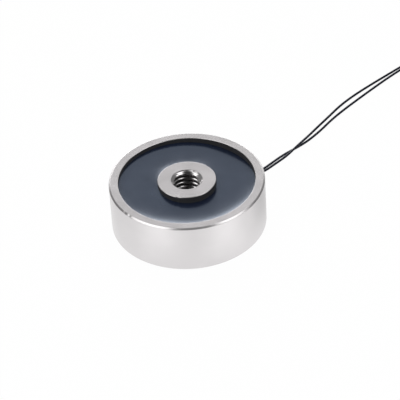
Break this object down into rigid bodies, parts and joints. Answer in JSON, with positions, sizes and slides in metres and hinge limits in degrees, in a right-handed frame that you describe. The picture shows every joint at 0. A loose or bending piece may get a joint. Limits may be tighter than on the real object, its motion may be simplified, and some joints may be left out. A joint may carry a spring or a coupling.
{
  "type": "holding electromagnet",
  "caption": "Round pot-shaped holding electromagnet with a flat steel face, a threaded hole through its centre pole and two thin free leads.",
  "frame": {"origin": "centre of the flat back face, on the axis of the threaded hole", "axes": "+Z out of the holding face, along the axis of the cup; the leads leave the wall at 33 degrees from +X towards +Y"},
  "size_m": [0.0846, 0.0682, 0.01],
  "materials": {
    "nickel_plated_steel": "satin nickel plate",
    "potting_resin": "poured epoxy, satin",
    "moulded_plastic": "moulded",
    "enamelled_copper": "enamelled",
    "polyester_tape": "film tape",
    "lead_insulation": "extruded, semi gloss",
    "tie_plastic": "matt",
    "tinned_copper": "tinned",
    "solder": "soldered",
    "shrink_sleeve": "shrunk sleeve"
  },
  "bodies": {
    "root": {"yoke": "nickel_plated_steel", "bobbin": "moulded_plastic", "coil_winding": "enamelled_copper", "coil_tape": "polyester_tape", "lead_a": "lead_insulation", "lead_b": "lead_insulation", "spare_coil": "lead_insulation", "coil_tie": "tie_plastic", "lead_a_tail": "lead_insulation", "lead_b_tail": "lead_insulation", "lead_a_tinned_end": "tinned_copper", "lead_b_tinned_end": "tinned_copper", "lead_a_core": "tinned_copper", "lead_b_core": "tinned_copper", "solder_joint_a": "solder", "solder_joint_b": "solder", "joint_sleeve_a": "shrink_sleeve", "joint_sleeve_b": "shrink_sleeve", "potting": "potting_resin"}
  },
  "joints": []
}
